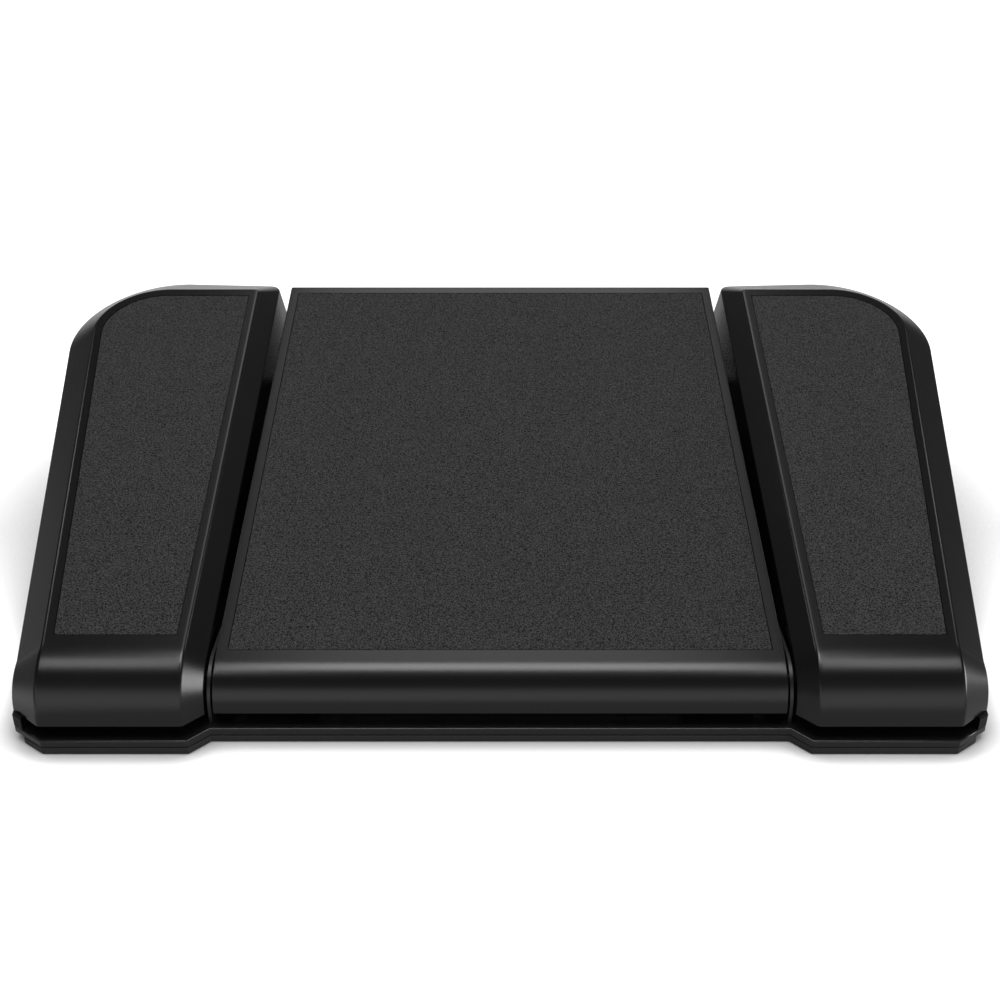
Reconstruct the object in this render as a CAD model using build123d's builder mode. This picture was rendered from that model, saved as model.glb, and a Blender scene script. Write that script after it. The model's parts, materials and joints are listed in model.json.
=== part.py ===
from build123d import *
import math
import os

os.makedirs("parts", exist_ok=True)

# Three-pedal foot switch. X runs across the pedals, Y from the heel edge to the toe edge, Z up.
# The origin is the middle of the footprint, on the floor. All lengths are in millimetres.

# Footprint of the base: its front edge follows the pedals, with a recess at the centre one
base_depth = 190.0
centre_front_margin = 0.7
centre_front_inset = 4.1
side_front_inset = 2.95
corner_cut_width = 7.0
corner_cut_depth = 5.2
splay = 8.2
base_corner = 45.0
mat_thickness = 1.7
mat_inset = 2.2
mat_groove_pitch = 8.0
mat_groove_width = 2.0
mat_groove_depth = 0.5
mat_groove_margin = 8.0
plate_thickness = 1.7

# Hinge line and the rolls that hide it
hinge_inset = 14.7
kerb_gap = 0.4
slope = 16.3
rear_slope = 45.0
travel = 3.0
skirt_margin = 0.3
centre_roll_radius = 9.6
side_roll_radius = 14.0

# Centre pedal
centre_width = 119.0
toe_inset = 48.42

# Side pedals, right one: edge lines start at the roll and spread towards the toes
pedal_gap = 1.6
side_width = 40.0
side_setback = 7.5
near_bevel = 3.85
far_bevel = 6.7
top_near_spread = 1.14
top_far_spread = 7.54
top_corner = 17.2
rim_near_spread = 0.65
rim_far_spread = 7.95
rim_near_overhang = 7.5
rim_far_overhang = 13.5
rim_corner = 26.0
rim_near_drop = 4.1
rim_far_drop = 5.8
skirt_corner = 36.0
inner_corner = 1.4
edge_round = 0.5

# Shell walls, pads and the running gaps
wall = 2.8
side_wall = 2.4
pad_thickness = 1.2
pad_gap = 0.15
pad_round = 0.25
pad_side_border = 2.3
pad_toe_border = 2.9
pad_heel_border = 2.0
side_pad_border = 2.0
side_pad_toe = 3.0
side_pad_heel = 2.4
cut = 1.0
fit = 0.05
snug = 0.01
rest_gap = 0.3

# Chassis moulding on the base plate
floor_thickness = 1.6
floor_back = 5.8
kerb_thickness = 2.2
kerb_height = 2.8
rear_wall_setback = 11.2
rear_wall_thickness = 2.2
rear_wall_height = 10.0
rear_wall_gap = 1.0
rear_wall_side_inset = 11.1

# Hinge hardware
shaft_diameter = 4.0
shaft_overhang = 1.3
groove_depth = 0.4
bush_wall = 1.0
barrel_wall = 1.0
barrel_clearance = 0.74
clip_diameter = 7.0
clip_thickness = 0.6
clip_mouth = 2.4
tower_wall = 1.8
tower_width = 5.0
tower_foot = 3.3
notch_gap = 0.5
hinge_plate_thickness = 0.7
hinge_plate_gap = 0.45
hinge_plate_nose = 8.9
hinge_plate_back = 9.3
hinge_plate_end = 19.3
hinge_plate_heel = 4.0
flange_width = 9.4
flange_start = 9.8
flange_depth = 8.5

# Barrels along the shaft, set in from the sides of the shells that hide them
centre_barrel_inset = 5.5
centre_barrel_width = 10.0
side_barrel_inset = 3.3
side_barrel_width = 8.0
outer_barrel_inset = 5.7
outer_barrel_width = 6.0

# Frame under each shell
standoff = 3.0
frame_thickness = 2.0
frame_margin = 1.6
frame_start = 9.0
arm_reach = 9.3
web_thickness = 2.5
web_setback = 17.3
leg_setback = 43.0
leg_thickness = 4.0
leg_width = 10.0
lip_length = 4.6
lip_thickness = 2.0
catch_gap = 0.6
catch_thickness = 4.4
catch_rise = 2.5
centre_leg_gap = 6.5
side_leg_gap = 4.5

# Screws from the frames up into the shells, set off from the webs, spring bosses and legs
screw_front = 17.0
screw_stagger = 8.0
screw_web_gap = 3.4
outer_screw_web_gap = 4.4
outer_screw_reach = 3.7
outer_screw_spring_gap = 21.6
side_screw_spring_gap = 15.2
centre_screw_web_gap = 10.1
centre_screw_spring_gap = 24.0
centre_screw_leg_gap = 4.6

# Return springs
spring_setback = 13.0
spring_diameter = 14.0
spring_wire = 1.6
spring_turns = 7.0
spring_seat = 2.0
spring_boss = 3.93
seat_rim = 1.5
boss_rim = 1.0
nub_diameter = 8.0
nub_height = 3.0
centre_spring_share = 0.405
side_spring_gap = 9.0

# Electronics
board_clearance = 0.3
board_thickness = 1.0
board_gap = 3.0
board_bar_margin = 1.6
board_bar_depth = 14.0
board_stem_half = 8.5
board_end_gap = 0.5
board_corner = 2.0
board_bar_screw_shares = [0.773, 0.341]
board_stem_screw_shares = [0.52, 0.87]
switch_length = 12.8
switch_depth = 6.5
switch_height = 6.0
switch_offset = 1.1
plunger_diameter = 3.0
plunger_height = 1.7
plunger_length = 5.2
actuator_diameter = 6.0
socket_width = 8.94
socket_height = 3.2
socket_length = 7.3
socket_wall = 0.3
tongue_width = 6.7
tongue_height = 0.7
tongue_inset = 1.2
plug_width = 13.0
plug_height = 7.0
chip_size = 7.0
chip_height = 1.0
chip_share = 0.26
part_length = 2.0
part_width = 1.25
part_height = 0.7
part_shares = [(0.5, 0.1), (-0.5, 0.1), (0.5, 0.16), (-0.5, 0.16), (0, 0.4), (0.5, 0.74), (-0.5, 0.74)]

# Fasteners
screw_diameter = 2.4
screw_head = 4.8
screw_head_height = 1.6
screw_slot = 0.8
screw_slot_share = 0.62
screw_depth = 3.4
screw_relief = 0.2
boss_diameter = 6.0
base_screw_diameter = 3.0
base_screw_head = 5.6
base_screw_shares = [(0.3, 0.102), (0.89, 0.136), (0.5, 0.385), (1.03, 0.742), (0.445, 0.917)]
bump_diameter = 9.0
bump_thickness = 2.0

# Levels that follow from the sizes above
rise = math.radians(slope)
steep = math.radians(rear_slope)
press = math.radians(travel)
skirt_angle = math.radians(travel + skirt_margin)
lift = math.tan(skirt_angle)
flare = math.tan(math.radians(splay))
base_top = mat_thickness + plate_thickness
floor_top = base_top + floor_thickness
board_bottom = floor_top + board_clearance
board_top = board_bottom + board_thickness
switch_top = board_top + switch_height
plunger_top = switch_top + plunger_height
spring_bottom = floor_top + spring_seat
frame_top_depth = wall + standoff
frame_depth = frame_top_depth + frame_thickness
bush_radius = shaft_diameter / 2 + fit + bush_wall
barrel_radius = bush_radius + snug + barrel_wall
tower_radius = shaft_diameter / 2 + tower_wall
roll_height = base_top + kerb_height + kerb_gap
hinge_height = base_top + barrel_clearance + barrel_radius

# Lines across the switch, from the middle out
centre_half = centre_width / 2
rim_near = centre_half + pedal_gap
rim_far = rim_near + side_width
top_near = rim_near + near_bevel
top_far = rim_far - far_bevel
rim_tilt = math.atan((rim_far_drop - rim_near_drop) / side_width)
centre_barrel_far = centre_half - centre_barrel_inset
centre_barrel_near = centre_barrel_far - centre_barrel_width
side_barrel_near = rim_near + side_barrel_inset
side_barrel_far = side_barrel_near + side_barrel_width
outer_barrel_far = rim_far - outer_barrel_inset
outer_barrel_near = outer_barrel_far - outer_barrel_width
clip_x = outer_barrel_far + rest_gap
shaft_half = clip_x + clip_thickness + shaft_overhang
switch_side = rim_near + side_width / 2 - switch_offset
board_bar_half = switch_side + switch_length / 2 + board_bar_margin
centre_leg = board_stem_half + centre_leg_gap + leg_width / 2
side_leg = rim_near + side_wall + side_leg_gap + leg_width / 2
spring_room = centre_half - side_wall - centre_leg - leg_width / 2
centre_spring = centre_leg + leg_width / 2 + centre_spring_share * spring_room
side_spring = side_leg + leg_width / 2 + side_spring_gap + spring_diameter / 2

# Lines along the switch, from the heel back to the toes
front = -base_depth / 2
hinge_y = front + hinge_inset
floor_y = hinge_y + floor_back
toe_y = front + base_depth - toe_inset
centre_length = (toe_y - hinge_y + centre_roll_radius * math.sin(rise)) / math.cos(rise)
side_length = centre_length - side_setback
board_front = hinge_y + hinge_plate_end + board_gap
switch_y = board_front + board_bar_depth / 2
ROLL = Axis((0, hinge_y, roll_height), (1, 0, 0))


def deck(radius, depth=0.0):
    """Plane of a pedal's top, `depth` below it; its origin is where the roll begins."""
    reach = radius - depth
    start = (0, hinge_y - reach * math.sin(rise), roll_height + reach * math.cos(rise))
    return Plane(origin=start, x_dir=(1, 0, 0), z_dir=(0, -math.sin(rise), math.cos(rise)))


def deck_height(radius, depth, y):
    """Height of a pedal's top plane, `depth` below it, over the line at y."""
    return roll_height + (y - hinge_y) * math.tan(rise) + (radius - depth) / math.cos(rise)


def deck_place(y, radius, depth=0.0):
    """Distance along the top plane, from its start, of the point over the line at y."""
    start = hinge_y - (radius - depth) * math.sin(rise)
    return (y - start) / math.cos(rise)


def skirt_plane(sink=0.0):
    """Plane of the pedals' lower edges, rising from the roll so that they clear the kerb."""
    angle = skirt_angle
    return Plane(
        origin=(0, hinge_y, roll_height - sink),
        x_dir=(1, 0, 0),
        z_dir=(0, -math.sin(angle), math.cos(angle)),
    )


def toe_point(inset=0.0):
    """Point (y, z) of the centre pedal's toe edge, or of the hollow's when inset."""
    reach = centre_roll_radius - inset
    length = centre_length - inset * math.tan((rise + steep) / 2)
    y = hinge_y - reach * math.sin(rise) + length * math.cos(rise)
    z = roll_height + reach * math.cos(rise) + length * math.sin(rise)
    return y, z


def rear_point(inset=0.0, sink=0.0):
    """Point (y, z) where the sloping toe face of the pedals meets their lower edge."""
    y, z = toe_point(inset)
    drop = z - roll_height + sink - (y - hinge_y) * lift
    run = drop / (math.tan(steep) + lift)
    return y + run, z - run * math.tan(steep)


# Places that wait for the pedals' toe face
rear_wall_y = rear_point()[0] - rear_wall_setback
rear_wall_inset = front + base_depth - rear_wall_y
leg_y = rear_wall_y - leg_setback
post_y = leg_y - lip_length - catch_gap
leg_drop = (leg_y + leg_thickness - hinge_y) * math.tan(press)
leg_bottom = floor_top + bump_thickness + rest_gap + leg_drop
ledge_bottom = leg_bottom + lip_thickness + rest_gap
spring_y = leg_y - spring_setback
spring_top = deck_height(centre_roll_radius, frame_depth, spring_y) - spring_boss
spring_length = spring_top - spring_bottom
plunger_stroke = (switch_y - hinge_y) * math.tan(press)


def centre_profile(inset=0.0, sink=0.0):
    """Side view of the centre pedal, or of the hollow inside it: flat top, toe face and roll."""
    reach = centre_roll_radius - inset
    points = [
        (hinge_y - reach * math.sin(rise), roll_height + reach * math.cos(rise)),
        toe_point(inset),
        rear_point(inset, sink),
        (hinge_y, roll_height - sink),
        (hinge_y - reach, roll_height - sink),
    ]
    if sink:
        points.append((hinge_y - reach, roll_height))
    with BuildSketch(Plane.YZ) as profile:
        with BuildLine():
            Polyline(*points)
            CenterArc((hinge_y, roll_height), reach, 90 + slope, 90 - slope)
        make_face()
    return profile.sketch


def base_outline(side_inset=0.0):
    """Footprint as a sketch: a recessed centre front, cut corners, splayed sides, round rear corners."""
    side = rim_far - side_inset
    cut_y = front + corner_cut_depth * (1 - side_inset / corner_cut_width)
    rear = front + base_depth
    rear_half = side + (rear - cut_y) * flare
    points = [
        (0, front + centre_front_inset),
        (centre_half + centre_front_margin, front + centre_front_inset),
        (rim_near + side_front_inset, front),
        (rim_far - corner_cut_width, front),
        (side, cut_y),
        (rear_half, rear),
        (0, rear),
    ]
    with BuildSketch() as outline:
        with BuildLine():
            Polyline(*points, close=True)
        make_face()
        fillet(outline.vertices().sort_by_distance((rear_half, rear))[0], base_corner - side_inset)
        mirror(about=Plane.YZ)
    return outline.sketch


def pedal_outline(
    plane, near, far, near_spread, far_spread, start, end, corner, inset=0.0, near_corner=0.0, slant=0.0
):
    """One slice of the right pedal: two spreading edges, a big far toe corner, a small near one.

    The toe line ends `slant` further out at the far side than at the near one.
    """
    near_slope = math.tan(math.radians(near_spread))
    far_slope = math.tan(math.radians(far_spread))
    far_end = end + slant
    toe = (far + far_slope * far_end, far_end)
    with BuildSketch(plane) as outline:
        with BuildLine():
            Polyline(
                (near + near_slope * start, start),
                (far + far_slope * start, start),
                toe,
                (near + near_slope * end, end),
                close=True,
            )
        make_face()
        fillet(outline.vertices().sort_by_distance(toe)[0], corner)
        if near_corner:
            near_toe = (near + near_slope * end, end)
            fillet(outline.vertices().sort_by_distance(near_toe)[0], near_corner)
        if inset:
            offset(amount=-inset)
    return outline.sketch


def rim_plane(lower=0.0):
    """Plane of the bevel's lower edge, deeper at the far side than at the near one."""
    base = deck(side_roll_radius, rim_near_drop + lower)
    across = base.x_dir * math.cos(rim_tilt) - base.z_dir * math.sin(rim_tilt)
    up = base.z_dir * math.cos(rim_tilt) + base.x_dir * math.sin(rim_tilt)
    origin = base.origin + base.x_dir * rim_near
    return Plane(origin=origin, x_dir=across, z_dir=up)


def side_block(inset=0.0, lower=0.0, sink=0.0, start=0.0):
    """Right pedal as a block: top face, bevel and skirt lofted, and the roll revolved in front.

    With inset and lower it is the hollow inside the shell.
    """
    shrink = math.cos(rim_tilt)
    near_corner = 0 if inset else inner_corner
    skirt_start = start * math.cos(rise)
    skirt_end = (rear_point(0, sink)[0] - hinge_y) / math.cos(skirt_angle)
    top = pedal_outline(
        deck(side_roll_radius, lower), top_near, top_far, top_near_spread, top_far_spread,
        start, side_length, top_corner, 0, near_corner,
    )
    rim = pedal_outline(
        rim_plane(lower), 0.0, side_width / shrink, rim_near_spread, rim_far_spread,
        start - inset, side_length + rim_near_overhang, rim_corner, inset, near_corner,
        rim_far_overhang - rim_near_overhang,
    )
    hem = pedal_outline(
        skirt_plane(sink), rim_near, rim_far, rim_near_spread, splay,
        skirt_start - inset, skirt_end, skirt_corner, inset, near_corner,
    )
    section_plane = Plane(
        origin=(0, hinge_y, roll_height),
        x_dir=(1, 0, 0),
        z_dir=(0, -math.cos(rise), -math.sin(rise)),
    )
    section = [
        (rim_near + inset, 0),
        (rim_near + inset, side_roll_radius - rim_near_drop - lower),
        (top_near, side_roll_radius - lower),
        (top_far, side_roll_radius - lower),
        (rim_far - inset, side_roll_radius - rim_far_drop - lower),
        (rim_far - inset, 0),
    ]
    with BuildPart() as block:
        loft(sections=[top.faces()[0], rim.faces()[0]], ruled=True)
        loft(sections=[rim.faces()[0], hem.faces()[0]], ruled=True)
        with BuildSketch(section_plane):
            with BuildLine():
                Polyline(*section, close=True)
            make_face()
        revolve(axis=ROLL, revolution_arc=90 - slope)
    return block.part


def block_outline(half_width, start, end):
    """Plain rectangle on a pedal's deck plane, symmetric about the middle."""
    with BuildSketch() as outline:
        with BuildLine():
            Polyline(
                (-half_width, start), (half_width, start), (half_width, end), (-half_width, end), close=True
            )
        make_face()
    return outline.sketch


def screws(plane, points, length, diameter, head):
    """Pan-head screws at the points: the plane is the seat of the heads, shanks go along its normal."""
    crown = plane.offset(-screw_head_height)
    with BuildPart() as group:
        with BuildSketch(plane):
            with Locations(*points):
                Circle(diameter / 2)
        extrude(amount=length)
        with BuildSketch(plane):
            with Locations(*points):
                Circle(head / 2)
        extrude(amount=-screw_head_height)
        rims = group.faces().filter_by(lambda face: abs(crown.to_local_coords(face.center()).Z) < fit)
        chamfer(rims.edges(), screw_head_height / 3)
        with BuildSketch(crown):
            with Locations(*points):
                Rectangle(head * screw_slot_share, screw_slot)
                Rectangle(screw_slot, head * screw_slot_share)
        extrude(amount=screw_slot, mode=Mode.SUBTRACT)
    return group.part


# Places that several pieces share
stem_start = board_front + board_bar_depth
stem_end = rear_wall_y - rear_wall_thickness - board_end_gap
stem_length = stem_end - stem_start
base_screws = [
    (side * x * rim_far, stem_start + y * stem_length) for x, y in base_screw_shares for side in (1, -1)
]
board_screws = [(side * x * board_bar_half, switch_y) for x in board_bar_screw_shares for side in (1, -1)]
board_screws += [(0, stem_start + y * stem_length) for y in board_stem_screw_shares]
plate_x = centre_half + hinge_plate_gap
hinge_screw_x = plate_x - flange_width + base_screw_head / 2 + screw_relief
hinge_screw_y = hinge_y + flange_start + flange_depth / 2
hinge_screws = [(hinge_screw_x, hinge_screw_y), (-hinge_screw_x, hinge_screw_y)]

# Rubber mat under the whole base, grooved for grip
with BuildPart() as rubber_mat:
    with BuildSketch():
        add(base_outline(mat_inset))
    extrude(amount=mat_thickness)
    with BuildSketch():
        add(base_outline(mat_inset))
        offset(amount=-mat_groove_margin)
        with GridLocations(base_depth, mat_groove_pitch, 1, int(base_depth / mat_groove_pitch) + 1):
            Rectangle(2 * base_depth, mat_groove_pitch - mat_groove_width, mode=Mode.SUBTRACT)
    extrude(amount=mat_groove_depth, mode=Mode.SUBTRACT)
rubber_mat.part.label = "rubber_mat"
export_step(rubber_mat.part, "parts/rubber_mat.step")

# Steel base plate, tapped for the chassis screws
with BuildPart() as base_plate:
    with BuildSketch(Plane.XY.offset(mat_thickness)):
        add(base_outline())
        with Locations(*base_screws, *hinge_screws):
            Circle(base_screw_diameter / 2, mode=Mode.SUBTRACT)
    extrude(amount=plate_thickness)
base_plate.part.label = "base_plate"
export_step(base_plate.part, "parts/base_plate.step")

# Chassis: one moulding with floor, kerb, hinge towers, spring seats, up-stops and rear wall
tower_starts = [
    centre_barrel_near - rest_gap - tower_width,
    side_barrel_far + rest_gap,
    outer_barrel_near - rest_gap - tower_width,
]
tower_back = floor_y + tower_foot
rear_spans = [
    (0, centre_half - side_wall - rear_wall_gap),
    (top_near + side_wall - rear_wall_gap / 2, rim_far - rear_wall_side_inset),
]
with BuildPart() as chassis:
    with BuildSketch(Plane.XY.offset(base_top)):
        add(base_outline())
        with Locations((0, floor_y - base_depth / 2)):
            Rectangle(2 * base_depth, base_depth, mode=Mode.SUBTRACT)
    extrude(amount=floor_thickness)
    with BuildSketch(Plane.XY.offset(base_top)):
        add(base_outline())
        offset(base_outline(), amount=-kerb_thickness, mode=Mode.SUBTRACT)
        with Locations((0, front)):
            Rectangle(2 * (rim_far - kerb_thickness), base_depth, mode=Mode.SUBTRACT)
    extrude(amount=kerb_height)
    for start in tower_starts:
        with BuildSketch(Plane.YZ.offset(start)):
            with BuildLine():
                Polyline(
                    (hinge_y - tower_radius, hinge_height),
                    (hinge_y - tower_radius, base_top),
                    (tower_back, base_top),
                    (tower_back, floor_top + floor_thickness),
                    (hinge_y + tower_radius, hinge_height),
                    close=True,
                )
            make_face()
            with Locations((hinge_y, hinge_height)):
                Circle(tower_radius)
                Circle(shaft_diameter / 2 + snug, mode=Mode.SUBTRACT)
        extrude(amount=tower_width)
    for x in (centre_spring, side_spring):
        with BuildSketch(Plane.XY.offset(floor_top)):
            with Locations((x, spring_y)):
                Circle(spring_diameter / 2 + seat_rim)
        extrude(amount=spring_seat)
        with BuildSketch(Plane.XY.offset(spring_bottom)):
            with Locations((x, spring_y)):
                Circle(nub_diameter / 2)
        extrude(amount=nub_height)
    for x in (centre_leg, side_leg):
        with BuildSketch(Plane.YZ.offset(x - leg_width / 2)):
            with BuildLine():
                Polyline(
                    (post_y - catch_thickness, floor_top),
                    (post_y, floor_top),
                    (post_y, ledge_bottom),
                    (leg_y - catch_gap, ledge_bottom),
                    (leg_y - catch_gap, ledge_bottom + catch_rise),
                    (post_y - catch_thickness, ledge_bottom + catch_rise),
                    close=True,
                )
            make_face()
        extrude(amount=leg_width)
    for near, far in rear_spans:
        with BuildSketch(Plane.XY.offset(floor_top)):
            with Locations(((near + far) / 2, rear_wall_y - rear_wall_thickness / 2)):
                Rectangle(far - near, rear_wall_thickness)
        extrude(amount=rear_wall_height)
    mirror(about=Plane.YZ)
    with BuildSketch(Plane.XY.offset(floor_top)):
        with Locations(*board_screws):
            Circle(boss_diameter / 2)
    extrude(amount=board_clearance)
    with BuildSketch(Plane.XY.offset(base_top)):
        with Locations((0, rear_wall_y + base_depth / 2)):
            Rectangle(plug_width + 2 * cut, base_depth)
    extrude(amount=kerb_height, mode=Mode.SUBTRACT)
    with BuildSketch(Plane.XZ.offset(-rear_wall_y)):
        with Locations((0, board_top + socket_height / 2)):
            SlotOverall(socket_width + 2 * fit, socket_height + 2 * fit)
    extrude(amount=rear_wall_thickness, mode=Mode.SUBTRACT)
    with BuildSketch(Plane.XY.offset(base_top)):
        with Locations(*base_screws, *hinge_screws):
            Circle(base_screw_diameter / 2 + fit)
    extrude(amount=floor_thickness, mode=Mode.SUBTRACT)
    with BuildSketch(Plane.XY.offset(base_top)):
        with Locations(*board_screws):
            Circle(screw_diameter / 2 + fit)
    extrude(amount=floor_thickness + board_clearance, mode=Mode.SUBTRACT)
chassis.part.label = "chassis"
export_step(chassis.part, "parts/chassis.step")

# Steel hinge plates in the gaps between the pedals carry the middle of the shaft
with BuildPart() as right_hinge_plate:
    with BuildSketch(Plane.YZ.offset(plate_x)):
        with BuildLine():
            Polyline(
                (hinge_y, roll_height + hinge_plate_nose),
                (hinge_y + hinge_plate_back, roll_height + hinge_plate_nose),
                (hinge_y + hinge_plate_end, floor_top + hinge_plate_heel),
                (hinge_y + hinge_plate_end, floor_top),
                (floor_y, floor_top),
                (floor_y, base_top),
                (hinge_y - hinge_plate_nose, base_top),
                (hinge_y - hinge_plate_nose, roll_height),
            )
            CenterArc((hinge_y, roll_height), hinge_plate_nose, 90, 90)
        make_face()
        with Locations((hinge_y, hinge_height)):
            Circle(shaft_diameter / 2 + snug, mode=Mode.SUBTRACT)
    extrude(amount=hinge_plate_thickness)
    with BuildSketch(Plane.XY.offset(floor_top)):
        with Locations((plate_x - flange_width / 2, hinge_screw_y)):
            Rectangle(flange_width, flange_depth)
        with Locations(hinge_screws[0]):
            Circle(base_screw_diameter / 2 + fit, mode=Mode.SUBTRACT)
    extrude(amount=hinge_plate_thickness)
right_hinge_plate.part.label = "right_hinge_plate"
export_step(right_hinge_plate.part, "parts/right_hinge_plate.step")

# Steel hinge shaft right across the switch, grooved for its two clips
with BuildPart() as hinge_shaft:
    with BuildSketch(Plane.YZ.offset(-shaft_half)):
        with Locations((hinge_y, hinge_height)):
            Circle(shaft_diameter / 2)
    extrude(amount=2 * shaft_half)
    chamfer(hinge_shaft.edges().filter_by(GeomType.CIRCLE), groove_depth)
    for start in (clip_x, -clip_x - clip_thickness):
        with BuildSketch(Plane.YZ.offset(start)):
            with Locations((hinge_y, hinge_height)):
                Circle(shaft_diameter)
                Circle(shaft_diameter / 2 - groove_depth, mode=Mode.SUBTRACT)
        extrude(amount=clip_thickness, mode=Mode.SUBTRACT)
hinge_shaft.part.label = "hinge_shaft"
export_step(hinge_shaft.part, "parts/hinge_shaft.step")

# Spring clips in the shaft's grooves
with BuildPart() as shaft_clips:
    for start in (clip_x + snug, -clip_x - clip_thickness + snug):
        with BuildSketch(Plane.YZ.offset(start)):
            with Locations((hinge_y, hinge_height)):
                Circle(clip_diameter / 2)
                Circle(shaft_diameter / 2 - groove_depth + snug, mode=Mode.SUBTRACT)
            with Locations((hinge_y, hinge_height - clip_diameter / 2)):
                Rectangle(clip_mouth, clip_diameter, mode=Mode.SUBTRACT)
        extrude(amount=clip_thickness - 2 * snug)
shaft_clips.part.label = "shaft_clips"
export_step(shaft_clips.part, "parts/shaft_clips.step")

# Round rubber bumpers that the pedals' legs land on
bump_places = [(side * x, leg_y + leg_thickness / 2) for x in (centre_leg, side_leg) for side in (1, -1)]
with BuildPart() as bump_stops:
    with BuildSketch(Plane.XY.offset(floor_top)):
        with Locations(*bump_places):
            Circle(bump_diameter / 2)
    extrude(amount=bump_thickness)
    chamfer(bump_stops.edges().group_by(Axis.Z)[-1], bump_thickness / 4)
bump_stops.part.label = "bump_stops"
export_step(bump_stops.part, "parts/bump_stops.step")

# Circuit board: a bar under the three switches and a stem back to the socket
with BuildPart() as main_board:
    with BuildSketch(Plane.XY.offset(board_bottom)):
        with Locations((0, switch_y)):
            RectangleRounded(2 * board_bar_half, board_bar_depth, board_corner)
        with Locations((0, (switch_y + stem_end) / 2)):
            Rectangle(2 * board_stem_half, stem_end - switch_y)
        with Locations(*board_screws):
            Circle(screw_diameter / 2 + fit, mode=Mode.SUBTRACT)
    extrude(amount=board_thickness)
main_board.part.label = "main_board"
export_step(main_board.part, "parts/main_board.step")

# Three switches on the board, each with its plunger
plunger_bore = plunger_length - plunger_height + plunger_stroke + screw_relief
for side, x in {"left": -switch_side, "centre": 0, "right": switch_side}.items():
    with BuildPart() as switch:
        with BuildSketch(Plane.XY.offset(board_top)):
            with Locations((x, switch_y)):
                Rectangle(switch_length, switch_depth)
        extrude(amount=switch_height)
        with BuildSketch(Plane.XY.offset(switch_top)):
            with Locations((x, switch_y)):
                Circle(plunger_diameter / 2 + fit)
        extrude(amount=-plunger_bore, mode=Mode.SUBTRACT)
    switch.part.label = f"{side}_switch"
    export_step(switch.part, f"parts/{side}_switch.step")
    with BuildPart() as plunger:
        with BuildSketch(Plane.XY.offset(plunger_top)):
            with Locations((x, switch_y)):
                Circle(plunger_diameter / 2)
        extrude(amount=-plunger_length)
        chamfer(plunger.edges().group_by(Axis.Z)[-1], plunger_diameter / 8)
    plunger.part.label = f"{side}_plunger"
    export_step(plunger.part, f"parts/{side}_plunger.step")

# USB-C socket: a thin metal shell with its tongue, on the board's end
with BuildPart() as usb_socket:
    with BuildSketch(Plane.XZ.offset(-rear_wall_y)):
        with Locations((0, board_top + socket_height / 2)):
            SlotOverall(socket_width, socket_height)
    extrude(amount=socket_length)
    with BuildSketch(Plane.XZ.offset(-rear_wall_y)):
        with Locations((0, board_top + socket_height / 2)):
            SlotOverall(socket_width - 2 * socket_wall, socket_height - 2 * socket_wall)
    extrude(amount=socket_length - tongue_inset, mode=Mode.SUBTRACT)
    with BuildSketch(Plane.XZ.offset(-rear_wall_y + tongue_inset)):
        with Locations((0, board_top + socket_height / 2)):
            Rectangle(tongue_width, tongue_height)
    extrude(amount=socket_length - tongue_inset)
usb_socket.part.label = "usb_socket"
export_step(usb_socket.part, "parts/usb_socket.step")

# Controller chip and the small parts round it
with BuildPart() as controller_chip:
    with BuildSketch(Plane.XY.offset(board_top)):
        with Locations((0, stem_start + chip_share * stem_length)):
            Rectangle(chip_size, chip_size)
    extrude(amount=chip_height)
    chamfer(controller_chip.edges().group_by(Axis.Z)[-1], chip_height / 4)
controller_chip.part.label = "controller_chip"
export_step(controller_chip.part, "parts/controller_chip.step")

with BuildPart() as board_parts:
    with BuildSketch(Plane.XY.offset(board_top)):
        with Locations(*[(x * board_stem_half, stem_start + y * stem_length) for x, y in part_shares]):
            Rectangle(part_width, part_length)
    extrude(amount=part_height)
board_parts.part.label = "board_parts"
export_step(board_parts.part, "parts/board_parts.step")

# Return springs, wound as one helix with both ends ground flat
for name, x in {
    "left_spring": -side_spring,
    "centre_spring_left": -centre_spring,
    "centre_spring_right": centre_spring,
    "right_spring": side_spring,
}.items():
    middle = (spring_diameter - spring_wire) / 2
    with BuildPart() as spring:
        with BuildLine():
            wire = Helix(
                pitch=spring_length / spring_turns,
                height=spring_length,
                radius=middle,
                center=(x, spring_y, spring_bottom),
            )
        with BuildSketch(Plane(origin=wire @ 0, z_dir=wire % 0)):
            Circle(spring_wire / 2)
        sweep(is_frenet=True)
        split(bisect_by=Plane.XY.offset(spring_bottom), keep=Keep.TOP)
        split(bisect_by=Plane.XY.offset(spring_top), keep=Keep.BOTTOM)
    spring.part.label = name
    export_step(spring.part, f"parts/{name}.step")
print("spring gap between turns", spring_length / spring_turns - spring_wire)

# Screws that hold the board, the chassis and the hinge plates
board_screw_set = screws(
    Plane.XY.offset(board_top).rotated((180, 0, 0)),
    [(x, -y) for x, y in board_screws],
    board_top - base_top - screw_relief,
    screw_diameter,
    screw_head,
)
board_screw_set.label = "board_screws"
export_step(board_screw_set, "parts/board_screws.step")

chassis_screw_set = screws(
    Plane.XY.offset(floor_top).rotated((180, 0, 0)),
    [(x, -y) for x, y in base_screws],
    floor_top - mat_thickness,
    base_screw_diameter - 2 * snug,
    base_screw_head,
)
chassis_screw_set.label = "chassis_screws"
export_step(chassis_screw_set, "parts/chassis_screws.step")

hinge_screw_set = screws(
    Plane.XY.offset(floor_top + hinge_plate_thickness).rotated((180, 0, 0)),
    [(x, -y) for x, y in hinge_screws],
    floor_top + hinge_plate_thickness - mat_thickness,
    base_screw_diameter - 2 * snug,
    base_screw_head,
)
hinge_screw_set.label = "hinge_plate_screws"
export_step(hinge_screw_set, "parts/hinge_plate_screws.step")

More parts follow.
